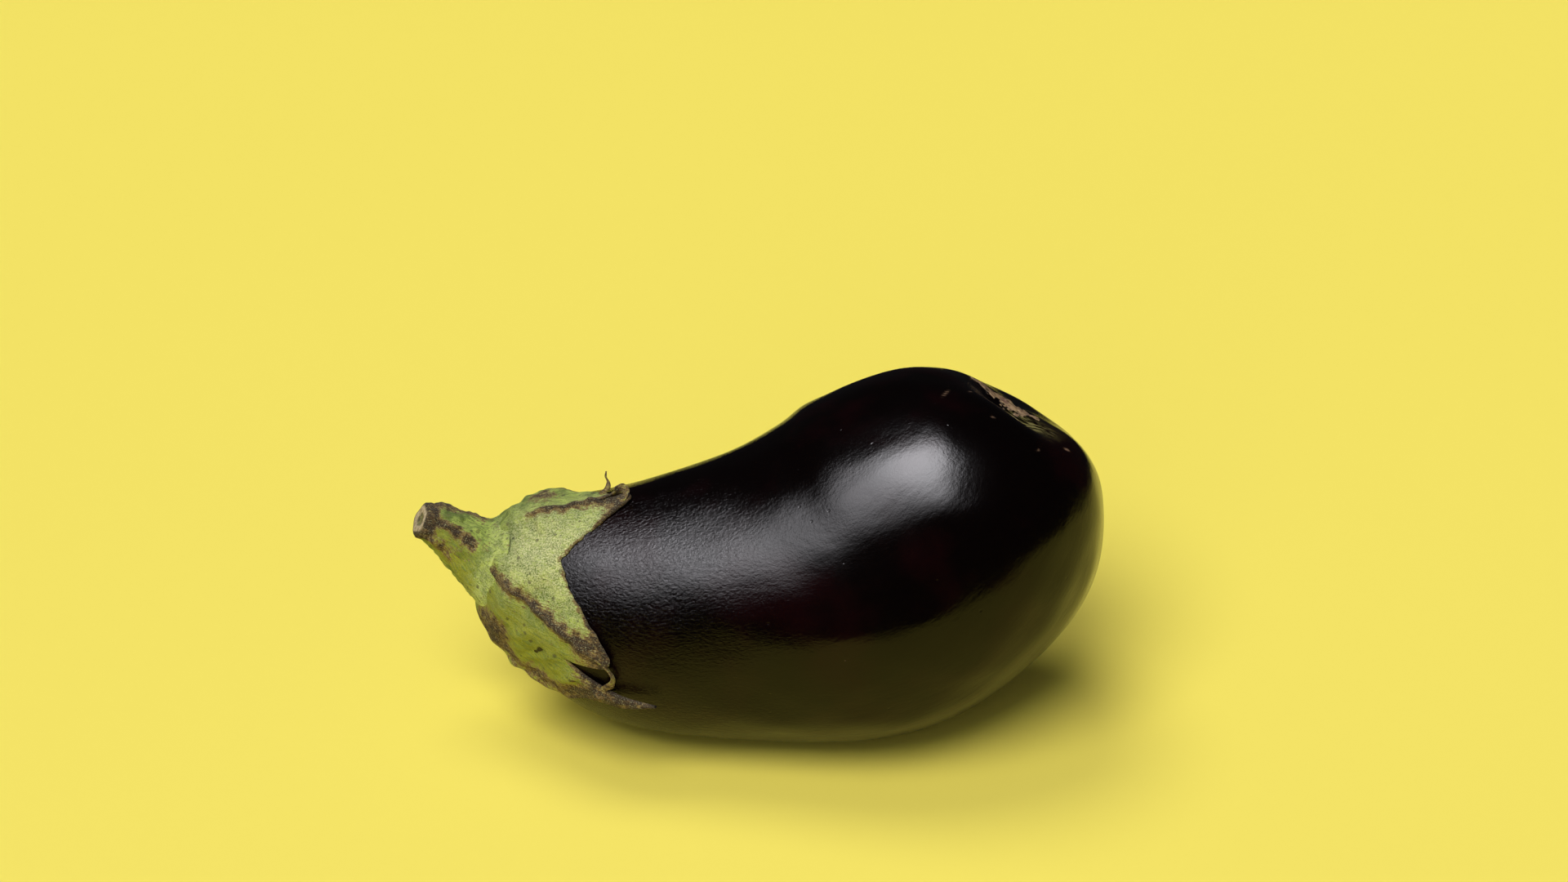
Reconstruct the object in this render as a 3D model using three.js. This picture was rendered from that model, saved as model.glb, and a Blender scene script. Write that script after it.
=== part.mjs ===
import * as THREE from 'three';

// An eggplant lying on its belly. Millimetres, +Z up, +X from the stem to the
// blossom end. The origin is the middle of the small flat spot it rests on.

// Spine: starts at the stem end and turns upward towards the blossom end.
const SPINE_START = new THREE.Vector3(-96, 1.7, 53.5);
const SPINE_LENGTH = 186.2;
const HEADING_AT_STEM = -12.4;
const HEADING_AT_BLOSSOM = 64.8;
const TURN_AT = 0.623;
const TURN_SPREAD = 0.26;
// The neck sags a little below that line.
const SAG_DEPTH = 5.3;
const SAG_AT = 0.195;
const SAG_SPREAD = 0.16;
// The plane the spine bends in leans back from the vertical.
const BEND_PLANE_LEAN = 20;

// Girth: a slimmer neck opening into the belly, with blunt ends.
const NECK_RADIUS = 44.6;
const BELLY_RADIUS = 54.4;
const SWELL_AT = 0.535;
const SWELL_SPREAD = 0.138;
const STEM_END_BLUNTNESS = 4.05;
const BLOSSOM_END_BLUNTNESS = 7.4;

// Calyx: a leathery cap with five pointed lobes, lying just off the skin.
const CALYX_GAP = 0.5;
const CALYX_THICKNESS = 2.2;
const CALYX_EDGE_THICKNESS = 1.3;
const CALYX_REACH = 36.5;
const LOBE_POINTEDNESS = 1.6;
const LOBES = [
  { angle: 22, length: 19, halfWidth: 22 },
  { angle: 106, length: 21.5, halfWidth: 28 },
  { angle: 130, length: 34, halfWidth: 12 },
  { angle: 205, length: 20, halfWidth: 25 },
  { angle: 285, length: 23, halfWidth: 27 },
];

// Stem: a stub that narrows from the calyx to a straight cut. Its bend is
// given as steps outward, upward and sideways in the frame of the stem end.
const STEM_GAP = 0.35;
const STEM_BASE_RADIUS = 10.4;
const STEM_CUT_RADIUS = 5.3;
const STEM_KNEE = new THREE.Vector3(8.5, 6, 0.5);
const STEM_TIP = new THREE.Vector3(19.2, 9.3, 5);
const STEM_RIBS = 5;
const STEM_RIB_DEPTH = 0.05;

// How finely each surface is divided.
const SPINE_STEPS = 2000;
const FRUIT_RINGS = 48;
const FRUIT_SIDES = 60;
const CALYX_RINGS = 14;
const CALYX_SIDES = 72;
const STEM_RINGS = 12;
const STEM_CAP_RINGS = 3;
const STEM_SIDES = 30;

const RIGHT = new THREE.Vector3(1, 0, 0);
const LEAN = THREE.MathUtils.degToRad(BEND_PLANE_LEAN);
const RISE = new THREE.Vector3(0, Math.sin(LEAN), Math.cos(LEAN));
const SIDE = new THREE.Vector3().crossVectors(RIGHT, RISE);

function smoothStep(t) {
  return 0.5 + 0.5 * Math.tanh(t);
}

function heading(s) {
  const turn = (HEADING_AT_BLOSSOM - HEADING_AT_STEM) * smoothStep((s - TURN_AT) / TURN_SPREAD);
  return THREE.MathUtils.degToRad(HEADING_AT_STEM + turn);
}

function girth(s) {
  const swell = (BELLY_RADIUS - NECK_RADIUS) * smoothStep((s - SWELL_AT) / SWELL_SPREAD);
  const stemEnd = Math.sqrt(1 - Math.pow(1 - s, STEM_END_BLUNTNESS));
  const blossomEnd = Math.sqrt(1 - Math.pow(s, BLOSSOM_END_BLUNTNESS));
  return (NECK_RADIUS + swell) * stemEnd * blossomEnd;
}

// Stations crowd towards both ends: u runs evenly, s is the share of the spine.
function share(u) {
  return 0.5 - 0.5 * Math.cos(Math.PI * THREE.MathUtils.clamp(u, 0, 1));
}

function spineTable() {
  const points = [SPINE_START.clone()];
  const step = SPINE_LENGTH / SPINE_STEPS;
  for (let i = 0; i < SPINE_STEPS; i += 1) {
    const angle = heading((i + 0.5) / SPINE_STEPS);
    const next = points[i].clone();
    next.addScaledVector(RIGHT, step * Math.cos(angle));
    next.addScaledVector(RISE, step * Math.sin(angle));
    points.push(next);
  }
  return points;
}

const SPINE = spineTable();

function spinePoint(s) {
  const place = s * SPINE_STEPS;
  const low = Math.min(Math.floor(place), SPINE_STEPS - 1);
  const point = SPINE[low].clone().lerp(SPINE[low + 1], place - low);
  const sag = SAG_DEPTH * Math.exp(-(((s - SAG_AT) / SAG_SPREAD) ** 2));
  return point.addScaledVector(RISE, -sag);
}

// The point at station u and angle a around the spine, lifted off the skin.
// Angle 0 is the hollow side of the bend, 90 degrees is the near side.
function skinPoint(u, a, lift) {
  const nudge = 1e-4;
  const before = share(u - nudge);
  const after = share(u + nudge);
  const run = (after - before) * SPINE_LENGTH;
  const rise = girth(after) - girth(before);
  const slant = Math.hypot(run, rise);
  const s = share(u);
  const angle = heading(s);
  const along = RIGHT.clone().multiplyScalar(Math.cos(angle)).addScaledVector(RISE, Math.sin(angle));
  const inward = RIGHT.clone().multiplyScalar(-Math.sin(angle)).addScaledVector(RISE, Math.cos(angle));
  const outward = inward.multiplyScalar(Math.cos(a)).addScaledVector(SIDE, Math.sin(a));
  const point = spinePoint(s);
  point.addScaledVector(outward, girth(s) + (lift * run) / slant);
  return point.addScaledVector(along, (-lift * rise) / slant);
}

// The station that lies a given distance from the stem end along the skin.
function stationAt(distance) {
  let travelled = 0;
  let i = 0;
  while (travelled < distance) {
    const from = share(i / SPINE_STEPS);
    const to = share((i + 1) / SPINE_STEPS);
    travelled += Math.hypot((to - from) * SPINE_LENGTH, girth(to) - girth(from));
    i += 1;
  }
  return i / SPINE_STEPS;
}

// Closes a stack of rings into a body: a point at each end, rings between.
function ringBody(first, rings, last) {
  const sides = rings[0].length;
  const points = [first, ...rings.flat(), last];
  const end = points.length - 1;
  const faces = [];
  for (let j = 0; j < sides; j += 1) {
    const k = (j + 1) % sides;
    faces.push(0, 1 + k, 1 + j);
    for (let i = 0; i < rings.length - 1; i += 1) {
      const near = 1 + i * sides;
      const far = near + sides;
      faces.push(near + j, near + k, far + k);
      faces.push(near + j, far + k, far + j);
    }
    faces.push(end, end - sides + j, end - sides + k);
  }
  const geometry = new THREE.BufferGeometry();
  const flat = points.flatMap((p) => [p.x, p.y, p.z]);
  geometry.setAttribute('position', new THREE.Float32BufferAttribute(flat, 3));
  geometry.setIndex(faces);
  geometry.computeVertexNormals();
  return geometry;
}

function ring(sides, pointAt) {
  return Array.from({ length: sides }, (_, j) => pointAt((2 * Math.PI * j) / sides));
}

function piece(name, geometry, color, roughness) {
  const material = new THREE.MeshStandardMaterial({ color, roughness, metalness: 0 });
  const mesh = new THREE.Mesh(geometry, material);
  mesh.name = name;
  return mesh;
}

// The belly is pressed flat where it would reach below the resting surface.
function fruitGeometry() {
  const onTable = (point) => point.setZ(Math.max(point.z, 0));
  const rings = [];
  for (let i = 1; i < FRUIT_RINGS; i += 1) {
    rings.push(ring(FRUIT_SIDES, (a) => onTable(skinPoint(i / FRUIT_RINGS, a, 0))));
  }
  return ringBody(skinPoint(0, 0, 0), rings, skinPoint(1, 0, 0));
}

function calyxReach(a) {
  const lobeAt = (lobe) => {
    const turned = THREE.MathUtils.radToDeg(a) - lobe.angle;
    const apart = Math.abs(((turned + 540) % 360) - 180);
    return lobe.length * Math.exp(-((apart / lobe.halfWidth) ** LOBE_POINTEDNESS));
  };
  return CALYX_REACH + Math.max(...LOBES.map(lobeAt));
}

// Under the calyx from the stem end out to the lobes, then back over the top.
function calyxGeometry() {
  const edges = ring(CALYX_SIDES, (a) => stationAt(calyxReach(a)));
  const layer = (i, lift) => {
    const way = i / CALYX_RINGS;
    return edges.map((edge, j) => skinPoint(edge * way, (2 * Math.PI * j) / CALYX_SIDES, lift));
  };
  const top = (way) => CALYX_GAP + THREE.MathUtils.lerp(CALYX_THICKNESS, CALYX_EDGE_THICKNESS, way);
  const rings = [];
  for (let i = 1; i <= CALYX_RINGS; i += 1) {
    rings.push(layer(i, CALYX_GAP));
  }
  for (let i = CALYX_RINGS; i >= 1; i -= 1) {
    rings.push(layer(i, top(i / CALYX_RINGS)));
  }
  const geometry = ringBody(skinPoint(0, 0, CALYX_GAP), rings, skinPoint(0, 0, top(0)));
  geometry.index.array.reverse();
  return geometry;
}

// The foot follows the calyx, the side runs up to the cut, the cut is flat.
function stemGeometry() {
  const footLift = CALYX_GAP + CALYX_THICKNESS + STEM_GAP;
  const footEdge = stationAt(STEM_BASE_RADIUS);
  const angle = heading(0);
  const away = RIGHT.clone().multiplyScalar(-Math.cos(angle)).addScaledVector(RISE, -Math.sin(angle));
  const upward = RIGHT.clone().multiplyScalar(-Math.sin(angle)).addScaledVector(RISE, Math.cos(angle));
  const root = skinPoint(0, 0, footLift);
  const place = (v) => root.clone().addScaledVector(away, v.x).addScaledVector(upward, v.y).addScaledVector(SIDE, v.z);
  const path = new THREE.QuadraticBezierCurve3(root, place(STEM_KNEE), place(STEM_TIP));
  const rings = [];
  for (let i = 1; i <= STEM_CAP_RINGS; i += 1) {
    rings.push(ring(STEM_SIDES, (a) => skinPoint((footEdge * i) / STEM_CAP_RINGS, a, footLift)));
  }
  const foot = rings[rings.length - 1];
  for (let i = 1; i <= STEM_RINGS; i += 1) {
    const t = i / STEM_RINGS;
    const centre = path.getPoint(t);
    const forward = path.getTangent(t);
    const up = upward.clone().addScaledVector(forward, -upward.dot(forward)).normalize();
    const side = new THREE.Vector3().crossVectors(up, forward);
    const radius = STEM_CUT_RADIUS + (STEM_BASE_RADIUS - STEM_CUT_RADIUS) * (1 - t) ** 1.3;
    const settle = Math.min(1, t * 4);
    rings.push(
      ring(STEM_SIDES, (a) => {
        const ribbed = radius * (1 + STEM_RIB_DEPTH * settle * Math.cos(STEM_RIBS * a));
        const round = centre.clone();
        round.addScaledVector(up, ribbed * Math.cos(a));
        round.addScaledVector(side, ribbed * Math.sin(a));
        const j = Math.round((a * STEM_SIDES) / (2 * Math.PI));
        const lifted = foot[j].clone().add(centre).sub(root);
        return lifted.lerp(round, settle);
      }),
    );
  }
  const geometry = ringBody(root, rings, path.getPoint(1));
  geometry.index.array.reverse();
  return geometry;
}

const eggplant = new THREE.Group();
eggplant.name = 'eggplant';
eggplant.add(piece('fruit', fruitGeometry(), 0x1d1018, 0.22));
eggplant.add(piece('calyx', calyxGeometry(), 0x7f8c4c, 0.85));
eggplant.add(piece('stem', stemGeometry(), 0x8c9158, 0.85));

export default eggplant;
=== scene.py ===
"""An eggplant lying on its belly: glossy dark fruit, leathery green calyx and a cut stem."""

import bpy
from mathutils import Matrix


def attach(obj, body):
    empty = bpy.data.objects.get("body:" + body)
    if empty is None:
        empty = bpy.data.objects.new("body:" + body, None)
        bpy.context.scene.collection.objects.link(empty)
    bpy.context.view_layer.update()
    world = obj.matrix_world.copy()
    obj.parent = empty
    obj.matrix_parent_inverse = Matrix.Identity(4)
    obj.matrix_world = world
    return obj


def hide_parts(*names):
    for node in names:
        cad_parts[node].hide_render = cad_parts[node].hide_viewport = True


bl_info = {
    "name": "Eggplant",
    "version": (1, 0, 0),
    "blender": (4, 5, 0),
    "location": "3D View > Sidebar > Eggplant",
    "description": "Builds a whole eggplant around its packed solids",
    "category": "Add Mesh",
}

import math

import bpy
import numpy as np
from bpy.props import FloatProperty, FloatVectorProperty, IntProperty, PointerProperty
from mathutils import Vector

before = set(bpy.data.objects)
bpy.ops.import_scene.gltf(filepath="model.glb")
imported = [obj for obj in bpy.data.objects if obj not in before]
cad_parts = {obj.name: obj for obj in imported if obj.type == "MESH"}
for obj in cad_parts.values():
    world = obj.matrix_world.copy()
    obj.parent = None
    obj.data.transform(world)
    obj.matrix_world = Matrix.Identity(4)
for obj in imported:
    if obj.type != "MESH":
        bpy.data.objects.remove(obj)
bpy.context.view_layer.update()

MM = 0.001
TURN = 2 * math.pi

# Lengths are in metres and angles in degrees, but where a comment says otherwise.
# The spine starts at the stem end. Shares of its length give where it turns,
# sags and swells, and over how much of it.
SPINE_START = np.array([-0.096, 0.0017, 0.0535])
SPINE_STEPS = 4000
TURN_AT = 0.623
TURN_SPREAD = 0.26
SAG_AT = 0.195
SAG_SPREAD = 0.16
SWELL_AT = 0.535
SWELL_SPREAD = 0.138
STEM_END_BLUNTNESS = 4.05
BLOSSOM_END_BLUNTNESS = 7.4
REACH_STEPS = 2000
NUDGE = 1e-4

# Broad swellings of the fruit and then of the calyx: height, distance from the
# stem along the skin and its spread, angle round the fruit and its spread.
SHOULDER = (0.0014, 0.108, 0.016, 15, 65)
CHEEK = (0.0010, 0.208, 0.014, 146, 30)
CALYX_SWELLINGS = (
    (0.0019, 0.014, 0.009, 168, 34),
    (0.0015, 0.030, 0.008, 352, 20),
    (-0.0007, 0.024, 0.010, 68, 22),
)

# Each lobe of the calyx: angle round the fruit and length past the cap in mm,
# then half-width and bluntness on the side before it and on the side after it.
LOBES = (
    (23, 21.5, 14.0, 1.7, 29.0, 1.5),
    (110, 24.6, 30.0, 1.45, 8.0, 2.5),
    (130, 20.5, 15.0, 1.7, 27.0, 1.7),
    (205, 19.0, 24.0, 1.6, 25.0, 1.6),
    (285, 21.0, 27.0, 1.6, 26.0, 1.6),
)
# The dried points that run on from the lobes: angle, length in mm, half-width.
LOBE_POINTS = ((24, 1.5, 4.0), (126.5, 21.0, 3.5), (207, 7.0, 3.5), (283, 6.0, 3.5))
POINT_BLUNTNESS = 1.3
# Ribs down the lobes: the angle of each 45 mm along, and its drift per mm. Their
# width is measured on a neck of about 40 mm radius, less near the stem.
RIBS = ((25, -0.3), (104, 0.52), (146, -0.8), (205, 0.0), (285, 0.0))
RIB_ORIGIN = 45
RIB_HALF_WIDTH = 1.7
NECK_MM = 40
# Bruised bands near ribs: angle, drift and half-width in mm as for a rib, how
# brown, and the mm from the stem where each comes in, and over how many.
BRUISED_BANDS = (
    (103, 0.52, 3.9, 0.72, 6, 9),
    (139, -0.75, 5.0, 0.70, 10, 6),
    (25, -0.3, 3.4, 0.72, 19, 10),
)
# Bruised patches: angle and its spread, mm from the stem and spread, how brown.
BRUISED_PATCHES = ((8, 11, 28, 5, 0.75), (138, 14, 20, 7, 0.8))

# The scar lies in flat millimetres about a point near the blossom end, turned
# by an angle of this cosine and sine. Its cork follows a slightly slanted line.
SCAR_MIDDLE = (2.0, 9.0)
SCAR_TURN = (0.87, 0.5)
CORK_MIDDLE = -8.0
CORK_HALF_LENGTH = 13.0
CORK_HALF_WIDTH = 1.9
CORK_OFF = 8.4
SLIT_OFF = 8.6
CORK_SLANT = 0.15
CORK_HEIGHT = 0.0004
SLIT_DEPTH = 0.0006

# Small healed marks near the blossom end: mm from it, angle, half-length and
# half-width in mm, turn, and how pale each is. The last is a dark crack.
MARKS = (
    (32.5, 39.5, 2.0, 0.28, 70, 0.35),
    (23.6, 41.0, 0.9, 0.25, 60, 0.35),
    (28.5, 71.0, 0.5, 0.4, 0, 0.35),
    (17.1, 110.0, 0.6, 0.4, 30, 0.5),
    (25.1, 131.0, 1.0, 0.4, 35, 0.75),
    (31.4, 104.0, 0.6, 0.25, 80, 0.4),
    (44.7, 157.0, 2.6, 0.4, 80, -1.0),
)

# Dried curls. The stops of each are mm from the stem along the skin, angle, and
# mm above the skin. Half-widths and half-thicknesses are in mm, twist in radians.
CURLS = {
    "curl_top_thread": {
        "stops": (
            (46.0, 17, 1.4), (48.2, 14, 2.6), (48.6, 12.5, 4.0),
            (48.4, 12, 5.6), (48.8, 11, 7.2),
        ),
        "wide": (0.9, 0.7, 0.5, 0.3),
        "thick": (0.4, 0.35, 0.25, 0.15),
        "twist": (0.0, 0.6, 1.2),
        "dryness": 0.75,
    },
    "curl_top_flap": {
        "stops": (
            (43.0, 22, 1.5), (48.0, 21, 1.9), (52.0, 19, 2.4),
            (54.0, 22, 2.6), (52.5, 27, 1.8),
        ),
        "wide": (1.6, 3.0, 3.4, 2.6, 1.0),
        "thick": (0.5, 0.5, 0.4, 0.3),
        "twist": (1.2, 1.5, 1.9, 2.4),
        "dryness": 0.8,
    },
    "curl_front_tip": {
        "stops": (
            (53.0, 110, 1.3), (56.8, 112.5, 1.6), (59.2, 116, 2.2),
            (58.8, 120, 2.8), (56.6, 124.5, 2.7), (55.2, 127.5, 1.9),
        ),
        "wide": (2.2, 1.5, 1.1, 1.0, 0.8, 0.5),
        "thick": (0.5, 0.45, 0.4, 0.35, 0.3),
        "twist": (1.4, 1.2, 0.6, 0.3, 0.2),
        "dryness": 0.74,
    },
}

# The middle line of the stem in mm, outward, upward and sideways from its foot,
# and the shares of it where the round shaft starts and where it is cut.
STEM_KNEE = (8.8, 7.2, 0.5)
STEM_TIP = (19.2, 9.3, 5.0)
SHAFT_FROM = 0.40
CUT_AT = 0.955
# How far the foot's sides keep to the calyx, and then to the shaft.
FOOT_PULL = 0.0075
SHAFT_PULL = 0.0065
CUT_ROUNDING = 0.0014
PITH_DEPTH = 0.0005

# Fixed colours of small things: on the skin, and on the cut end of the stem.
FLECK_PALE = (0.22, 0.16, 0.12, 1)
STREAK_PALE = (0.26, 0.23, 0.070, 1)
CORK_DARK = (0.075, 0.028, 0.012, 1)
CORK_TAN = (0.27, 0.18, 0.080, 1)
CORK_GRIT = (0.40, 0.27, 0.15, 1)
CRACK_DARK = (0.06, 0.014, 0.008, 1)
NICK_TAN = (0.26, 0.16, 0.10, 1)
WOOD_DARK = (0.38, 0.28, 0.15, 1)
WOOD_PALE = (0.74, 0.62, 0.42, 1)
PITH_DARK = (0.09, 0.07, 0.03, 1)
PITH_PALE = (0.30, 0.29, 0.09, 1)

# The stage: the paper's reach, and the part of it near the fruit that shows in
# the gloss, as its left, right, front and back.
PAPER_REACH = 6.0
NEAR_PAPER = (-1.2, 1.2, -0.22, 0.26)
# Broad lights for the paper: name, spread in degrees, strength, where it is.
PAPER_LIGHTS = (
    ("key_light", 36, 2.25, (-0.30, -0.68, 1.10)),
    ("front_light", 40, 0.62, (-0.20, -1.00, 0.55)),
    ("top_light", 28, 0.96, (-0.28, 0.30, 1.10)),
)
WARM_WHITE = (1.0, 0.985, 0.99)
COOL_WHITE = (0.975, 0.955, 1.0)
ROOM_TONE = (0.9, 0.93, 1.0, 1)
# What the camera is aimed at.
AIM = np.array([-0.0121, -0.0181, 0.0442])


# ---------------------------------------------------------------- plain maths


def smooth_step(t):
    """Half of one plus the hyperbolic tangent: an S-shaped rise from 0 to 1."""
    return 0.5 + 0.5 * np.tanh(t)


def bump(t):
    """A bell that is 1 at t = 0 and falls away as exp(-t squared)."""
    return np.exp(-(t**2))


def ease(t):
    """3 t^2 - 2 t^3 on t held between 0 and 1."""
    t = np.clip(t, 0, 1)
    return t * t * (3 - 2 * t)


def unit(v):
    """Vectors divided by their own lengths."""
    return v / np.maximum(np.linalg.norm(v, axis=-1, keepdims=True), 1e-12)


def round_angles(sides):
    """One row of evenly spaced angles, a whole turn over the number of sides apart."""
    return (TURN * np.arange(sides) / sides)[None, :]


def ripple(points, size, seed, count=14):
    """A smooth uneven field near -1 to 1: the mean of seeded sine waves whose
    directions are random and whose lengths lie round the given size."""
    rng = np.random.default_rng(seed)
    waves = unit(rng.normal(size=(count, 3))) * (TURN / size) * rng.uniform(0.6, 1.5, (count, 1))
    phases = rng.uniform(0, TURN, count)
    total = np.zeros(points.shape[:-1])
    for wave, phase in zip(waves, phases):
        total += np.sin(points @ wave + phase)
    return total * 1.6 / math.sqrt(count)


def angle_gap(a, degrees):
    """Signed degrees from a given direction round to the angle a, from -180 to 180."""
    return (np.degrees(a) - degrees + 540) % 360 - 180


def swelling(distance, a, height, place, spread, angle, wide):
    """A height times a bell along the skin times a bell round the fruit."""
    return height * bump(angle_gap(a, angle) / wide) * bump((distance - place) / spread)


# ---------------------------------------------------------------- the body of the fruit


class Body:
    """The bent body that every piece is laid out on. Station u runs from 0 at
    the stem end to 1 at the blossom end, and a is the angle round the spine."""

    def __init__(self, form):
        self.form = form
        lean = form.lean
        self.right = np.array([1.0, 0.0, 0.0])
        self.rise = np.array([0.0, math.sin(lean), math.cos(lean)])
        self.side = np.cross(self.right, self.rise)
        s = np.linspace(0, 1, SPINE_STEPS + 1)
        middle = (s[1:] + s[:-1]) / 2
        step = form.length / SPINE_STEPS
        across = np.concatenate([[0], np.cumsum(np.cos(self.heading(middle)) * step)])
        up = np.concatenate([[0], np.cumsum(np.sin(self.heading(middle)) * step)])
        self.table = (s, across, up)
        u = np.linspace(0, 1, REACH_STEPS + 1)
        girth = self.girth(self.share(u))
        legs = np.hypot(np.diff(self.share(u)) * form.length, np.diff(girth))
        self.reach_table = (np.concatenate([[0], np.cumsum(legs)]), u)

    def heading(self, s):
        """Direction of the spine: an S-shaped turn from the stem's to the blossom end's."""
        first, last = self.form.stem_heading, self.form.blossom_heading
        return first + (last - first) * smooth_step((s - TURN_AT) / TURN_SPREAD)

    def girth(self, s):
        """Radius: an S-shaped swell from neck to belly, times a blunt cap at each
        end, which is the root of 1 - t ^ bluntness, where t is 1 at that end."""
        neck, belly = self.form.neck, self.form.belly
        swell = neck + (belly - neck) * smooth_step((s - SWELL_AT) / SWELL_SPREAD)
        stem_end = 1 - np.clip(1 - s, 0, 1) ** STEM_END_BLUNTNESS
        blossom_end = 1 - np.clip(s, 0, 1) ** BLOSSOM_END_BLUNTNESS
        return swell * np.sqrt(np.clip(stem_end, 0, 1)) * np.sqrt(np.clip(blossom_end, 0, 1))

    @staticmethod
    def share(u):
        """Share of the spine at station u, (1 - cos(pi u)) / 2, crowded at both ends."""
        return 0.5 - 0.5 * np.cos(np.pi * np.clip(u, 0, 1))

    def station(self, distance):
        """Station that lies a distance from the stem end along the skin."""
        return np.interp(distance, *self.reach_table)

    def distance(self, u):
        """Distance from the stem end along the skin at station u."""
        return np.interp(u, self.reach_table[1], self.reach_table[0])

    def axes(self, u):
        """Unit vectors at stations u, turned by the heading: along the spine, and
        towards the hollow side of the bend."""
        turn = self.heading(self.share(u))[..., None]
        along = np.cos(turn) * self.right + np.sin(turn) * self.rise
        inward = -np.sin(turn) * self.right + np.cos(turn) * self.rise
        return along, inward

    def skin(self, u, a, lift=0.0):
        """Spine point, plus girth times the direction at angle a, plus the
        lift along the outward normal of the swept profile."""
        u, a, lift = np.broadcast_arrays(u, a, lift)
        s = self.share(u)
        sag = self.form.sag * bump((s - SAG_AT) / SAG_SPREAD)
        across = np.interp(s, self.table[0], self.table[1])
        up = np.interp(s, self.table[0], self.table[2]) - sag
        centre = SPINE_START + across[..., None] * self.right + up[..., None] * self.rise
        before, after = self.share(u - NUDGE), self.share(u + NUDGE)
        run = (after - before) * self.form.length
        climb = self.girth(after) - self.girth(before)
        slant = np.hypot(run, climb)
        along, inward = self.axes(u)
        outward = inward * np.cos(a)[..., None] + self.side * np.sin(a)[..., None]
        out = self.girth(s) + lift * run / slant
        return centre + outward * out[..., None] - along * (lift * climb / slant)[..., None]


# ---------------------------------------------------------------- meshes


def ring_mesh(name, rings, first, last, inside_out=False):
    """A closed mesh from an array of rings (ring, side, xyz): a quad between
    neighbours on neighbouring rings, and a fan from the first ring to the first
    tip and from the last ring to the last tip."""
    count, sides = rings.shape[:2]
    index = np.arange(count * sides).reshape(count, sides)
    near, far = index[:-1], index[1:]
    quads = np.stack([near, np.roll(near, -1, 1), np.roll(far, -1, 1), far], axis=-1)
    start, end = index[0], index[-1]
    hub = np.full(sides, count * sides)
    fans = (
        np.stack([hub, np.roll(start, -1), start], axis=-1),
        np.stack([hub + 1, end, np.roll(end, -1)], axis=-1),
    )
    faces = quads.reshape(-1, 4).tolist() + fans[0].tolist() + fans[1].tolist()
    if inside_out:
        faces = [face[::-1] for face in faces]
    tips = [np.asarray(tip).reshape(1, 3) for tip in (first, last)]
    mesh = bpy.data.meshes.new(name)
    mesh.from_pydata(np.concatenate([rings.reshape(-1, 3), *tips]), [], faces)
    mesh.polygons.foreach_set("use_smooth", np.full(len(mesh.polygons), True))
    mesh.update()
    piece = bpy.data.objects.new(name, mesh)
    bpy.context.scene.collection.objects.link(piece)
    return piece


def flatten(values, tips=(0, -1)):
    """A grid of numbers or vectors as one row for each vertex, then a row for
    each tip, copied from the vertices at the given places."""
    flat = values.reshape(-1, *values.shape[2:])
    return np.concatenate([flat, flat[list(tips)]])


def wrap(distance, girth, a):
    """The skin laid out as a straight tube: distance along it, and the girth
    times the cosine and the sine of the angle."""
    distance, girth, a = np.broadcast_arrays(distance, girth, a)
    return np.stack([distance, girth * np.cos(a), girth * np.sin(a)], axis=-1)


def paint(piece, name, values):
    """Stores one number or one vector per vertex on the mesh, for its material."""
    values = np.asarray(values, dtype=np.float32)
    kind, field = ("FLOAT", "value") if values.ndim == 1 else ("FLOAT_VECTOR", "vector")
    layer = piece.data.attributes.new(name, kind, "POINT")
    layer.data.foreach_set(field, values.ravel())


# ---------------------------------------------------------------- shader tools


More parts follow.
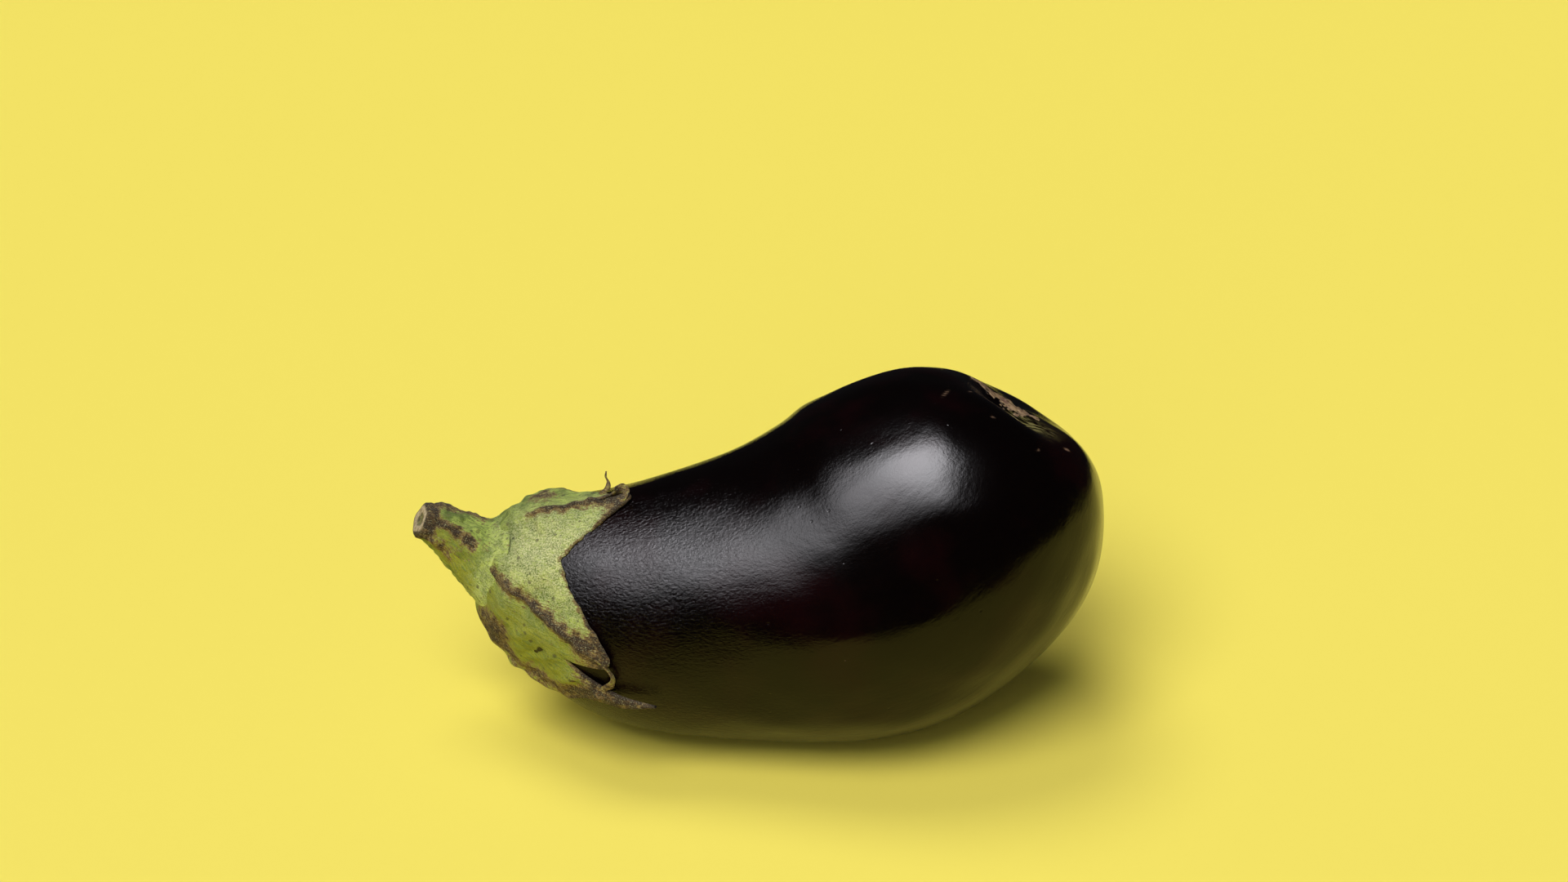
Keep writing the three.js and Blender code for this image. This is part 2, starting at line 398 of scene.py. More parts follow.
class Tree:
    """Adds nodes to a node tree by type and joins their sockets."""

    def __init__(self, tree):
        self.tree = tree
        self.column = 0

    def add(self, kind, inputs=(), **settings):
        """A new node with its settings and inputs, laid out in a loose grid."""
        item = self.tree.nodes.new(kind)
        item.location = (self.column * 40, -(self.column % 7) * 160)
        self.column += 1
        for key, value in settings.items():
            setattr(item, key, value)
        for key, value in dict(inputs).items():
            self.put(item.inputs[key], value)
        return item

    def put(self, socket, value):
        """Links a socket to an input, or sets the input to a plain value."""
        if isinstance(value, bpy.types.NodeSocket):
            self.tree.links.new(value, socket)
        else:
            socket.default_value = value

    def math(self, operation, one, two=0.0, three=0.0):
        """Plain arithmetic on up to three numbers."""
        inputs = {0: one, 1: two, 2: three}
        return self.add("ShaderNodeMath", inputs, operation=operation).outputs[0]

    def times(self, one, two):
        """One number times another."""
        return self.math("MULTIPLY", one, two)

    def mix(self, factor, one, two):
        """The first colour at 0, the second at 1, and a blend between."""
        item = self.add("ShaderNodeMix", data_type="RGBA")
        for place, value in ((0, factor), (6, one), (7, two)):
            self.put(item.inputs[place], value)
        return item.outputs[2]

    def ramp(self, value, low, high, flip=False):
        """0 below low, 1 above high and smooth between, or the other way round."""
        start, end = (1.0, 0.0) if flip else (0.0, 1.0)
        inputs = {0: value, 1: low, 2: high, 3: start, 4: end}
        return self.add("ShaderNodeMapRange", inputs, interpolation_type="SMOOTHSTEP").outputs[0]

    def noise(self, vector, scale, detail=3.0, rough=0.55, warp=0.0):
        """Cloudy noise about 0.5, with so many cells to a unit of the vector."""
        inputs = {
            "Vector": vector,
            "Scale": scale,
            "Detail": detail,
            "Roughness": rough,
            "Distortion": warp,
        }
        return self.add("ShaderNodeTexNoise", inputs).outputs["Fac"]

    def attribute(self, name, output="Fac"):
        """What was painted on the piece under this name."""
        return self.add("ShaderNodeAttribute", attribute_name=name).outputs[output]

    def stretch(self, vector, x, y, z):
        """A vector with each of its parts scaled."""
        return self.add("ShaderNodeMapping", {"Vector": vector, "Scale": (x, y, z)}).outputs[0]

    def place(self):
        """Place on the object, in metres."""
        return self.add("ShaderNodeTexCoord").outputs["Object"]

    def relief(self, surface, height, distance):
        """Roughens a shader's surface by a height times a distance in metres."""
        inputs = {"Strength": 1.0, "Distance": distance, "Height": height}
        bumps = self.add("ShaderNodeBump", inputs)
        self.put(surface.inputs["Normal"], bumps.outputs["Normal"])


def shader_group(name, inputs, outputs):
    """A node group with named sockets, and the tools to fill it."""
    group = bpy.data.node_groups.new(name, "ShaderNodeTree")
    for label, kind, value in inputs:
        socket = group.interface.new_socket(name=label, in_out="INPUT", socket_type=kind)
        if value is not None:
            socket.default_value = value
    for label, kind in outputs:
        group.interface.new_socket(name=label, in_out="OUTPUT", socket_type=kind)
    tree = Tree(group)
    return tree, tree.add("NodeGroupInput"), tree.add("NodeGroupOutput")


def fleck_group():
    """Small specks: cells of a Voronoi pattern, a few of them kept, each shown
    only close to its middle."""
    group = bpy.data.node_groups.get("flecks")
    if group:
        return group
    tree, inputs, outputs = shader_group(
        "flecks",
        (
            ("Vector", "NodeSocketVector", None),
            ("Spacing", "NodeSocketFloat", 80.0),
            ("Radius", "NodeSocketFloat", 0.06),
            ("Share", "NodeSocketFloat", 0.3),
        ),
        (("Mask", "NodeSocketFloat"),),
    )
    take = inputs.outputs
    cells = tree.add("ShaderNodeTexVoronoi", {"Vector": take["Vector"], "Scale": take["Spacing"]})
    pick = tree.add("ShaderNodeSeparateColor", {0: cells.outputs["Color"]})
    kept = tree.math("LESS_THAN", pick.outputs[0], take["Share"])
    size = tree.times(take["Radius"], tree.math("ADD", pick.outputs[1], 0.5))
    dot = tree.ramp(cells.outputs["Distance"], tree.times(size, 0.5), size, flip=True)
    tree.put(outputs.inputs["Mask"], tree.times(kept, dot))
    return tree.tree


def use_group(tree, group, inputs):
    """Places a group in a tree, with a value or a link for each of its inputs."""
    item = tree.add("ShaderNodeGroup")
    item.node_tree = group
    for key, value in inputs.items():
        tree.put(item.inputs[key], value)
    return item.outputs


def flecks(tree, place, spacing, radius, share):
    """Specks at so many cells to a metre, of a radius in cells, in a share of them."""
    inputs = {"Vector": place, "Spacing": spacing, "Radius": radius, "Share": share}
    return use_group(tree, fleck_group(), inputs)["Mask"]


def new_material(name):
    """A material of one shader, and the tools to fill it."""
    material = bpy.data.materials.new(name)
    material.use_nodes = True
    material.node_tree.nodes.clear()
    tree = Tree(material.node_tree)
    surface = tree.add("ShaderNodeBsdfPrincipled")
    output = tree.add("ShaderNodeOutputMaterial")
    tree.put(output.inputs["Surface"], surface.outputs["BSDF"])
    return material, tree, surface


def rgb(colour):
    """A colour with full opacity."""
    return (*colour, 1.0)


# ---------------------------------------------------------------- materials


def skin_material(look):
    """Waxy near-black skin with a red-purple cast, a fine grain along the
    fruit, tiny pale flecks, and the tan corky scar with its pale streaks."""
    material, tree, surface = new_material("eggplant_skin")
    place = tree.place()
    grain = tree.attribute("grain", "Vector")
    scar = tree.attribute("scar", "Vector")
    cork = tree.attribute("cork")
    streak = tree.attribute("streak")
    crack = tree.attribute("crack")
    nick = tree.attribute("nick")

    cast = tree.noise(place, 30.0, 3.0, 0.6)
    base = tree.mix(tree.ramp(cast, 0.45, 0.66), rgb(look.skin), rgb(look.skin_cast))
    base = tree.mix(tree.times(flecks(tree, place, 110.0, 0.055, 0.2), 0.25), base, FLECK_PALE)

    threads = tree.noise(tree.stretch(scar, 150.0, 1500.0, 1.0), 1.0, 3.0, 0.7, 0.3)
    fray = tree.math("MULTIPLY_ADD", tree.math("SUBTRACT", threads, 0.5), 3.2, cork)
    cork = tree.times(tree.ramp(fray, 0.35, 0.55), tree.ramp(cork, 0.02, 0.2))
    pale = tree.times(streak, tree.ramp(threads, 0.48, 0.58))
    base = tree.mix(pale, base, STREAK_PALE)
    grit = tree.noise(place, 1300.0, 3.0, 0.7)
    tan = tree.mix(tree.ramp(threads, 0.43, 0.58), CORK_DARK, CORK_TAN)
    tan = tree.mix(tree.times(tree.ramp(grit, 0.45, 0.65), 0.6), tan, CORK_GRIT)
    base = tree.mix(cork, base, tan)
    base = tree.mix(crack, base, CRACK_DARK)
    base = tree.mix(nick, base, NICK_TAN)
    tree.put(surface.inputs["Base Color"], base)

    dull = tree.math("MAXIMUM", tree.math("MAXIMUM", cork, nick), tree.times(pale, 0.7))
    patches = tree.ramp(tree.noise(place, 45.0, 3.0, 0.6), 0.3, 0.7)
    gloss = tree.math("MULTIPLY_ADD", patches, 0.04, 0.14)
    tree.put(surface.inputs["Roughness"], tree.math("MULTIPLY_ADD", dull, 0.5, gloss))
    surface.inputs["IOR"].default_value = 1.5
    surface.inputs["Specular IOR Level"].default_value = 0.23

    # A fine pebbled grain, strongest on the neck, over shallow dents and pores.
    reach = tree.add("ShaderNodeSeparateXYZ", {0: grain}).outputs[0]
    neck = tree.math("MULTIPLY_ADD", tree.ramp(reach, 0.066, 0.125, flip=True), 0.70, 0.18)
    wrinkle = tree.noise(tree.stretch(grain, 720.0, 1200.0, 1200.0), 1.0, 3.0, 0.7, 0.3)
    dents = tree.noise(tree.stretch(grain, 120.0, 300.0, 300.0), 1.0, 2.0, 0.5)
    pores = flecks(tree, place, 230.0, 0.085, 0.3)
    height = tree.math("MULTIPLY_ADD", wrinkle, neck, tree.times(dents, 0.30))
    height = tree.math("SUBTRACT", height, tree.times(pores, 0.22))
    height = tree.math("ADD", height, tree.times(tree.times(cork, grit), 2.0))
    tree.relief(surface, height, 0.00026)
    return material


def leaf_group():
    """Leathery leaf: mottled green crossed by fine fibres, yellower where asked,
    whitened by down, and dried to brown where the brown amount and the noise
    together pass a level. Also gives how dry it is and the height of its grain."""
    group = bpy.data.node_groups.get("leaf")
    if group:
        return group
    colours = ("Green", "Deep green", "Yellow green", "Down", "Rust", "Umber")
    tree, inputs, outputs = shader_group(
        "leaf",
        (
            ("Place", "NodeSocketVector", None),
            ("Fibre", "NodeSocketVector", None),
            ("Brown", "NodeSocketFloat", 0.0),
            ("Yellow", "NodeSocketFloat", 0.0),
            ("Fuzz", "NodeSocketFloat", 0.0),
            *((name, "NodeSocketColor", (0.3, 0.3, 0.1, 1.0)) for name in colours),
        ),
        (
            ("Color", "NodeSocketColor"),
            ("Dryness", "NodeSocketFloat"),
            ("Height", "NodeSocketFloat"),
        ),
    )
    take = inputs.outputs
    tone = tree.noise(take["Place"], 210.0, 4.0, 0.7)
    grain = tree.noise(take["Place"], 2300.0, 3.0, 0.7)
    thread = tree.noise(tree.stretch(take["Fibre"], 330.0, 1700.0, 1700.0), 1.0, 3.0, 0.7, 0.5)
    green = tree.mix(tree.ramp(tone, 0.36, 0.62), take["Deep green"], take["Green"])
    warm = tree.math("MULTIPLY_ADD", tree.math("SUBTRACT", tone, 0.5), 1.2, take["Yellow"])
    green = tree.mix(tree.ramp(warm, 0.15, 0.95), green, take["Yellow green"])
    shade = tree.times(tree.ramp(thread, 0.45, 0.62), 0.8)
    green = tree.mix(shade, green, take["Deep green"])
    down = tree.times(take["Fuzz"], tree.ramp(grain, 0.36, 0.64))
    green = tree.mix(down, green, take["Down"])

    ragged = tree.noise(take["Place"], 380.0, 5.0, 0.8)
    streaky = tree.math("ADD", tree.times(ragged, 0.7), tree.times(thread, 0.45))
    gather = tree.math("MULTIPLY_ADD", tree.math("SUBTRACT", streaky, 0.575), 2.9, take["Brown"])
    dry = tree.ramp(gather, 0.42, 0.72)
    umber = tree.mix(tree.ramp(gather, 0.62, 1.05), take["Rust"], take["Umber"])
    umber = tree.mix(tree.times(tree.ramp(grain, 0.52, 0.70), 0.35), umber, take["Down"])
    tree.put(outputs.inputs["Color"], tree.mix(dry, green, umber))
    tree.put(outputs.inputs["Dryness"], dry)
    veins = tree.math("MULTIPLY_ADD", thread, 0.8, tree.times(grain, 0.35))
    tree.put(outputs.inputs["Height"], tree.math("MULTIPLY_ADD", ragged, 0.9, veins))
    return tree.tree


def leaf_material(look, name, stalk=False):
    """Dry leathery leaf skin, placed by the painted brown, yellow and fuzz. The
    stalk also has its pale cut wood and the greener pith."""
    material, tree, surface = new_material(name)
    place = tree.place()
    leaf = use_group(
        tree,
        leaf_group(),
        {
            "Place": place,
            "Fibre": tree.attribute("fibre", "Vector"),
            "Brown": tree.attribute("brown"),
            "Yellow": tree.attribute("yellow"),
            "Fuzz": tree.attribute("fuzz"),
            "Green": rgb(look.leaf),
            "Deep green": rgb(look.leaf_dark),
            "Yellow green": rgb(look.leaf_yellow),
            "Down": rgb(look.fuzz),
            "Rust": rgb(look.bruise),
            "Umber": rgb(look.bruise_dark),
        },
    )
    specks = tree.times(flecks(tree, place, 560.0, 0.34, 0.16), 0.6)
    base = tree.mix(specks, leaf["Color"], rgb(look.bruise_dark))
    if stalk:
        rings = tree.noise(place, 900.0, 4.0, 0.7)
        wood = tree.mix(tree.ramp(rings, 0.3, 0.7), WOOD_DARK, WOOD_PALE)
        base = tree.mix(tree.attribute("cut"), base, wood)
        pith = tree.mix(tree.ramp(rings, 0.4, 0.6), PITH_DARK, PITH_PALE)
        base = tree.mix(tree.attribute("pith"), base, pith)
    tree.put(surface.inputs["Base Color"], base)
    dull = tree.math("MULTIPLY_ADD", leaf["Dryness"], 0.25, 0.58)
    tree.put(surface.inputs["Roughness"], dull)
    surface.inputs["Specular IOR Level"].default_value = 0.12
    surface.inputs["Sheen Weight"].default_value = 0.05
    surface.inputs["Sheen Roughness"].default_value = 0.5
    tree.relief(surface, leaf["Height"], 0.0010)
    return material


def paper_material(look):
    """Plain matt paper with the faintest unevenness of tone."""
    material, tree, surface = new_material("backing_paper")
    tone = tree.noise(tree.place(), 3.0, 2.0, 0.5)
    shade = (look.paper[0] * 0.98, look.paper[1] * 0.98, look.paper[2] * 0.96, 1.0)
    tree.put(surface.inputs["Base Color"], tree.mix(tone, rgb(look.paper), shade))
    surface.inputs["Roughness"].default_value = 0.9
    surface.inputs["Specular IOR Level"].default_value = 0.1
    return material


# ---------------------------------------------------------------- sizes and colours


def metres(name, description, default, low=0.0):
    """A length in metres that a user can change."""
    return FloatProperty(
        name=name,
        description=description,
        default=default,
        min=low,
        unit="LENGTH",
        subtype="DISTANCE",
    )


def tilt(name, description, degrees):
    """An angle that a user can change."""
    return FloatProperty(
        name=name, description=description, default=math.radians(degrees), subtype="ANGLE"
    )


def tint(name, description, default):
    """A colour that a user can change."""
    return FloatVectorProperty(
        name=name,
        description=description,
        default=default,
        size=3,
        min=0,
        max=1,
        subtype="COLOR",
    )


class EggplantForm(bpy.types.PropertyGroup):
    """The bent body that every piece is laid out on"""

    length: metres("Spine length", "Length of the bent middle line of the fruit", 0.1862, 0.05)
    belly: metres("Belly radius", "Radius the fruit swells to", 0.0544, 0.01)
    neck: metres("Neck radius", "Radius of the slimmer stem half", 0.0446, 0.01)
    sag: metres("Neck sag", "How far the neck hangs below the bend", 0.0053)
    lean: tilt("Lean", "How far the plane of the bend leans back", 20)
    stem_heading: tilt("Stem heading", "Direction of the spine at the stem end", -12.4)
    blossom_heading: tilt("Blossom heading", "Direction of the spine at the blossom end", 64.8)
    scar_depth: metres("Scar hollow", "Depth of the hollow at the blossom end", 0.0062)


class EggplantCalyx(bpy.types.PropertyGroup):
    """The leathery cap at the stem end"""

    cap: metres("Cap reach", "Along the skin from the stem to between the lobes", 0.0326, 0.01)
    thickness: metres("Thickness", "Thickness of the calyx near the stem", 0.0023, 0.0005)
    edge: metres("Edge thickness", "Thickness of the calyx along its edge", 0.0010, 0.0002)
    rib: metres("Rib height", "Height of the rib down each lobe", 0.0013)


class EggplantStem(bpy.types.PropertyGroup):
    """The cut stub of stalk"""

    foot: metres("Foot reach", "How far the foot spreads over the calyx", 0.0175, 0.005)
    base: metres("Base radius", "Radius just above the foot", 0.0092, 0.002)
    cut: metres("Cut radius", "Radius at the cut end", 0.0052, 0.002)
    ribs: IntProperty(name="Ribs", description="Ridges along the stem", default=5, min=0)


class EggplantLook(bpy.types.PropertyGroup):
    """Colours of the eggplant and the paper it lies on"""

    skin: tint("Skin", "Darkest tone of the skin", (0.0014, 0.0006, 0.0006))
    skin_cast: tint(
        "Skin cast", "Red-purple tone that shows through the skin", (0.0048, 0.0008, 0.0012)
    )
    leaf: tint("Leaf", "Light green of calyx and stem", (0.45, 0.56, 0.100))
    leaf_dark: tint("Leaf, dark", "Deeper green of calyx and stem", (0.125, 0.190, 0.018))
    # The yellow green is partly the leaf's own tone; laid low on the calyx it is partly painted
    # shade too.
    leaf_yellow: tint("Leaf, yellow", "Yellow green of the hollows", (0.285, 0.305, 0.011))
    fuzz: tint("Fuzz", "Whitish down on the calyx", (0.82, 0.82, 0.43))
    bruise: tint("Bruise", "Light brown of the dried parts", (0.23, 0.145, 0.050))
    bruise_dark: tint("Bruise, dark", "Dark brown of the dried parts", (0.042, 0.026, 0.013))
    paper: tint("Paper", "Colour of the backing paper", (0.92, 0.79, 0.13))


class EggplantStage(bpy.types.PropertyGroup):
    """The camera's place and the strength of the light"""

    look_down: tilt("Look down", "How far the camera looks down on the eggplant", 32)
    stand_off: metres("Stand-off", "Distance from the camera to the eggplant", 1.285, 0.2)
    brightness: FloatProperty(
        name="Brightness",
        description="Strength of all the lamps together",
        default=1.0,
        min=0.0,
        soft_max=2.0,
        subtype="FACTOR",
    )


# ---------------------------------------------------------------- the fruit


def blossom_flat(body, u, a):
    """Flat coordinates round the blossom end in millimetres: the distance from it
    along the skin, and that distance times the cosine and the sine of the angle."""
    far = (body.reach_table[0][-1] - body.distance(u)) / MM
    return far, far * np.cos(a), far * np.sin(a)


def blossom_frame(body, u, a):
    """The same distance, then the flat coordinates moved to the middle of the
    scar and turned: along the slit, and across it."""
    far, inner, near = blossom_flat(body, u, a)
    inner, near = inner - SCAR_MIDDLE[0], near - SCAR_MIDDLE[1]
    c, s = SCAR_TURN
    return far, -c * inner + s * near, s * inner + c * near


def fruit_relief(body, u, a, points):
    """Lift off the plain body in metres: a gentle unevenness, two broad swellings,
    a flattened blossom end, the long hollow there, the raised cork and its slit."""
    far, along, across = blossom_frame(body, u, a)
    distance = body.distance(u)
    uneven = 0.00030 * ripple(points, 0.055, 4) + 0.00008 * ripple(points, 0.018, 9)
    flat = -0.0020 * bump(far / 22) - 0.0024 * bump((along + 6) / 15) * bump((across + 14) / 9)
    hollow = -body.form.scar_depth * bump((along + 1) / 14) * bump(across / 7.5)
    broad = swelling(distance, a, *SHOULDER), swelling(distance, a, *CHEEK)
    cork = CORK_HEIGHT * cork_amount(along, across, points)
    slit = SLIT_DEPTH * crack_amount(along, across, points)
    return uneven + flat + hollow + broad[0] + broad[1] + cork - slit


def cork_amount(along, across, points):
    """1 on the corky strip on the far wall of the hollow, whose width is 1 - t^2
    of its widest a share t of the way to either end, with ragged edges."""
    ragged = 1.0 * ripple(points, 0.0045, 21) + 0.6 * ripple(points, 0.0016, 22)
    t = (along - CORK_MIDDLE) / CORK_HALF_LENGTH
    wide = CORK_HALF_WIDTH * np.clip(1 - t**2, 0.0, 1)
    gap = np.abs(across + CORK_OFF + CORK_SLANT * along) - wide + 0.55 * ragged
    return np.where(np.abs(t) < 1, 1 - ease((gap + 0.8) / 1.8), 0.0)


def crack_amount(along, across, points):
    """1 in the dark slit along the middle of the cork, broken in places."""
    wave = 0.5 * ripple(points, 0.009, 23)
    line = bump((across + SLIT_OFF + CORK_SLANT * along + wave) / 0.55)
    broken = ease(0.6 + 0.9 * ripple(points, 0.006, 24))
    return line * broken * bump((along + 9.0) / 6.0)


def streak_amount(along, across):
    """Pale streaks that fan out from the end of the cork: a bell across a line
    that bends away and widens with the distance along."""
    middle = across + 4.2 - 0.22 * np.clip(along, 0, 40)
    fan = bump(middle / (3.2 + 0.10 * np.clip(along, 0, 30)))
    return fan * ease((along + 7) / 8) * (1 - ease((along - 8) / 11))


def mark_amount(body, u, a, sign):
    """1 on the small healed marks of the given sign: an oval bell for each, in
    flat coordinates round the blossom end."""
    far, inner, near = blossom_flat(body, u, a)
    total = np.zeros(far.shape)
    for reach, angle, long, wide, turn, pale in MARKS:
        if pale * sign < 0:
            continue
        x = inner - reach * math.cos(math.radians(angle))
        y = near - reach * math.sin(math.radians(angle))
        c, s = math.cos(math.radians(turn)), math.sin(math.radians(turn))
        shape = bump((c * x + s * y) / long) * bump((c * y - s * x) / wide)
        total = np.maximum(total, abs(pale) * ease(1.5 * shape))
    return total


class EGGPLANT_OT_fruit(bpy.types.Operator):
    """Makes the glossy fruit with its hollow and scar at the blossom end"""

    bl_idname = "eggplant.fruit"
    bl_label = "Fruit"

    def execute(self, context):
        body = Body(context.scene.eggplant_form)
        rows, sides = 310, 300
        # The rings crowd towards the blossom end, where the scar is.
        v = (np.arange(1, rows) / rows)[:, None]
        u, a = np.broadcast_arrays(v * (1 + 0.5 * (1 - v)), round_angles(sides))
        plain = body.skin(u, a)
        rings = body.skin(u, a, fruit_relief(body, u, a, plain))
        # The belly is pressed flat on the ground.
        rings[..., 2] = np.maximum(rings[..., 2], 0)
        tips = []
        for end in (0.0, 1.0):
            tip = np.full((1, 1), end), np.zeros((1, 1))
            tips.append(body.skin(*tip, fruit_relief(body, *tip, body.skin(*tip))))
        piece = ring_mesh("fruit_skin", rings, *tips)
        _, along, across = blossom_frame(body, u, a)
        slit = crack_amount(along, across, plain)
        painted = {
            "cork": cork_amount(along, across, plain),
            "crack": np.maximum(slit, mark_amount(body, u, a, -1)),
            "nick": mark_amount(body, u, a, 1),
            "scar": np.stack([along * MM, across * MM, 0 * along], axis=-1),
            "streak": streak_amount(along, across),
            "grain": wrap(body.distance(u), body.girth(body.share(u)), a),
        }
        for name, values in painted.items():
            paint(piece, name, flatten(values))
        piece.data.materials.append(skin_material(context.scene.eggplant_look))
        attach(piece, "root")
        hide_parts("fruit")
        return {"FINISHED"}


# ---------------------------------------------------------------- the calyx


def lobe_reach(a, cap):
    """Distance of the calyx's edge from the stem along the skin: the cap, plus
    the longest lobe at that angle, plus the dried points. A lobe falls away as
    exp(-(gap / half-width) ^ bluntness) on each side."""
    lobes = []
    for angle, length, before, before_power, after, after_power in LOBES:
        gap = angle_gap(a, angle)
        wide = np.where(gap < 0, before, after)
        power = np.where(gap < 0, before_power, after_power)
        lobes.append(length * np.exp(-((np.abs(gap) / wide) ** power)))
    reach = np.max(lobes, axis=0)
    for angle, length, wide in LOBE_POINTS:
        gap = np.abs(angle_gap(a, angle)) / wide
        reach = reach + length * np.exp(-(gap**POINT_BLUNTNESS))
    return cap + reach * MM


def rib_band(a, mm, angle, drift, wide):
    """1 along one rib: a bell of the given half-width in millimetres across a
    line whose angle drifts with the distance from the stem."""
    gap = np.radians(angle_gap(a, angle + (mm - RIB_ORIGIN) * drift))
    return bump(gap * NECK_MM * np.clip(mm / 30, 0.15, 1) / wide)


def rib_amount(a, mm):
    """1 on the rib down the middle of each lobe, fading to 0 about 3 mm away."""
    bands = [rib_band(a, mm, angle, drift, RIB_HALF_WIDTH) for angle, drift in RIBS]
    return np.max(bands, axis=0)


def calyx_top(calyx, a, distance, way, rib, flat):
    """Lift of the upper face off the skin: the thickness, which thins towards
    the edge, plus ribs, unevenness, swellings, and a float-off past the cap that
    grows with the square of the distance. Also gives the float-off."""
    past = np.clip((distance - calyx.cap) / 0.02, 0, 1.5)
    float_off = 0.0011 * past**2 * (0.6 + 0.5 * np.sin(a * 3 + 1))
    thick = calyx.thickness + (calyx.edge - calyx.thickness) * way**1.5
    fade = 1 - 0.7 * ease((way - 0.75) / 0.25)
    ribs = calyx.rib * rib * fade * (0.3 + 0.7 * ease((distance - 0.014) / 0.02))
    uneven = 0.0005 * ripple(flat, 0.014, 31) + 0.00022 * ripple(flat, 0.005, 32)
    uneven = uneven * ease(distance / 0.012)
    swell = 0.0008 * bump((distance - 0.020) / 0.010)
    for numbers in CALYX_SWELLINGS:
        swell = swell + swelling(distance, a, *numbers)
    return thick + ribs + uneven * fade + swell + float_off, float_off


def calyx_tones(calyx, a, distance, edge, ribs):
    """How brown, yellow and downy the calyx is: browner in bands along ribs, in
    patches, along the edge and at the tips; gold low at the front and on the
    back, a yellower, darker green that is partly its own tone and partly painted
    shade on these lower sides; and pale with down at the top of the front."""
    mm = distance / MM
    dry_tip = ease((mm - calyx.cap / MM - 11) / 12)
    brown = 0.17
    for angle, drift, wide, amount, start, over in BRUISED_BANDS:
        band = rib_band(a, mm, angle, drift, wide) * ease((mm - start) / over)
        brown = brown + amount * band
    for angle, wide, place, spread, amount in BRUISED_PATCHES:
        patch = bump(angle_gap(a, angle) / wide) * bump((mm - place) / spread)
        brown = brown + amount * patch
    brown = brown + 0.2 * ribs * (mm > 30) + 0.5 * bump((edge - distance) / 0.0007)
    # Gold: a yellower, darker green, partly the calyx's own tone and partly painted shade on its
    # lower sides.
    gold = bump(angle_gap(a, 124) / 26) * ease((mm - 5) / 8)
    gold = gold + 0.6 * bump(angle_gap(a, 200) / 50)
    white = bump(angle_gap(a, 60) / 34) * ease((mm - 12) / 12)
    return {
        "brown": np.clip(brown + 0.60 * dry_tip, 0, 1),
        "yellow": np.clip(gold, 0, 1),
        "fuzz": 0.95 * white + 0.25 * dry_tip + 0.05,
    }


class EGGPLANT_OT_calyx(bpy.types.Operator):
    """Makes the leathery calyx, a closed shell with lobes, ribs and lifted tips"""

    bl_idname = "eggplant.calyx"
    bl_label = "Calyx"

    def execute(self, context):
        body = Body(context.scene.eggplant_form)
        calyx = context.scene.eggplant_calyx
        sides, rows, rim_rows, under_rows = 720, 64, 6, 14
        a = round_angles(sides)
        edge = lobe_reach(a, calyx.cap)
        edge = edge + 0.00025 * np.sin(a * 31 + 2 * np.sin(a * 7)) + 0.00015 * np.sin(a * 67 + 1)
        way = (np.arange(1, rows + 1) / rows)[:, None]
        distance = edge * way
        u = body.station(distance)
        rib = rib_amount(a, distance / MM)
        top, float_off = calyx_top(calyx, a, distance, way, rib, body.skin(u, a))
        under = np.maximum(float_off - 0.0002, 0.00005)
        top = np.maximum(top, under + 0.0006)
        # The rim is half a turn from the top edge to the underside edge.
        turn = np.linspace(0, math.pi, rim_rows + 2)[1:-1, None]
        middle, half = (top[-1] + under[-1]) / 2, (top[-1] - under[-1]) / 2
        rim_u = body.station(edge + half * np.sin(turn))
        # The underside runs back a little way, then sinks into the fruit.
        back = np.linspace(1, 0.62, under_rows)[:, None]
        back_lift = under[-1] * ease((back - 0.6) / 0.4) + 0.00003
        sunk = -0.0004
        stations = [u, rim_u, body.station(edge * back), body.station(edge * 0.60)]
        lifts = [top, middle + half * np.cos(turn), back_lift, np.full_like(edge, sunk)]
        stations = np.concatenate(stations)
        around = np.broadcast_to(a, stations.shape)
        rings = body.skin(stations, around, np.concatenate(lifts))
        zero = np.zeros((1, 1))
        tips = body.skin(zero, zero, calyx.thickness), body.skin(zero, zero, sunk)
        piece = ring_mesh("calyx_leaf", rings, *tips)

        # Rim and underside are painted as the edge is.
        tail = len(stations) - rows
        rib, distance = (np.concatenate([v, np.repeat(v[-1:], tail, 0)]) for v in (rib, distance))
        painted = calyx_tones(calyx, around, distance, edge, rib)
        painted["fibre"] = wrap(distance, NECK_MM * MM, around)
        for name, values in painted.items():
            paint(piece, name, flatten(values, (0, 0)))
        piece.data.materials.append(leaf_material(context.scene.eggplant_look, "calyx_leaf"))
        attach(piece, "root")
        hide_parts("calyx")
        return {"FINISHED"}


# ---------------------------------------------------------------- dried curls


